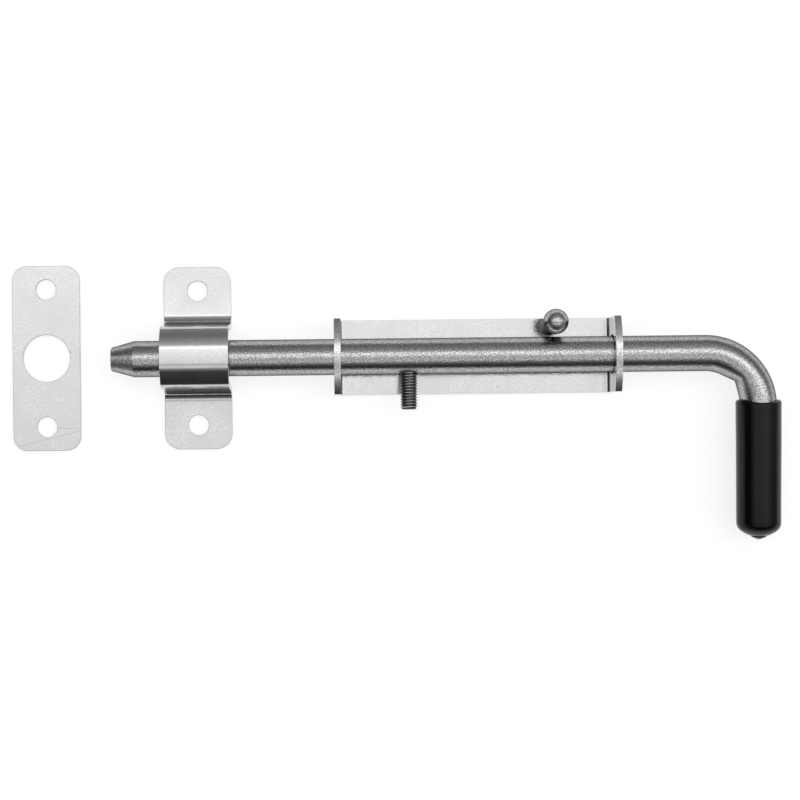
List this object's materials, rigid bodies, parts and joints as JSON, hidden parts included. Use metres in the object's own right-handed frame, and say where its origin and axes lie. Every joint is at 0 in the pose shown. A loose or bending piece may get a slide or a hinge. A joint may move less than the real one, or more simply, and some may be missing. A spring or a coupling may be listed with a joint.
{
  "type": "sliding gate bolt set",
  "caption": "Round-bar sliding gate bolt in a folded bracket, with bent gripped handle, stop screw, hold-open pin, keeper strap and strike plate.",
  "frame": {"origin": "middle of the base plate's two screw holes, on the mounting plane", "axes": "+X along the bolt towards its handle, +Y away from the handle's leg, +Z out of the mounting plane"},
  "size_m": [0.3414, 0.1253, 0.0291],
  "materials": {
    "zinc_plated_sheet": "bright zinc plate on rolled strip",
    "zinc_plated_bar": "bright zinc plate on hot-rolled bar, finely speckled",
    "screw_steel": "zinc plated thread, darker in its grooves",
    "grip_vinyl": "dip-moulded vinyl, satin black"
  },
  "bodies": {
    "base": {"base_bracket": "zinc_plated_sheet", "hold_open_pin": "zinc_plated_sheet", "keeper_strap": "zinc_plated_sheet", "strike_plate": "zinc_plated_sheet"},
    "bolt": {"bolt_bar": "zinc_plated_bar", "stop_screw": "screw_steel", "hand_grip": "grip_vinyl"}
  },
  "joints": [
    {"name": "bolt_slide", "type": "slide", "parent": "base", "child": "bolt", "axis": [1, 0, 0], "range_m": [-0.0255, 0.0859]}
  ]
}
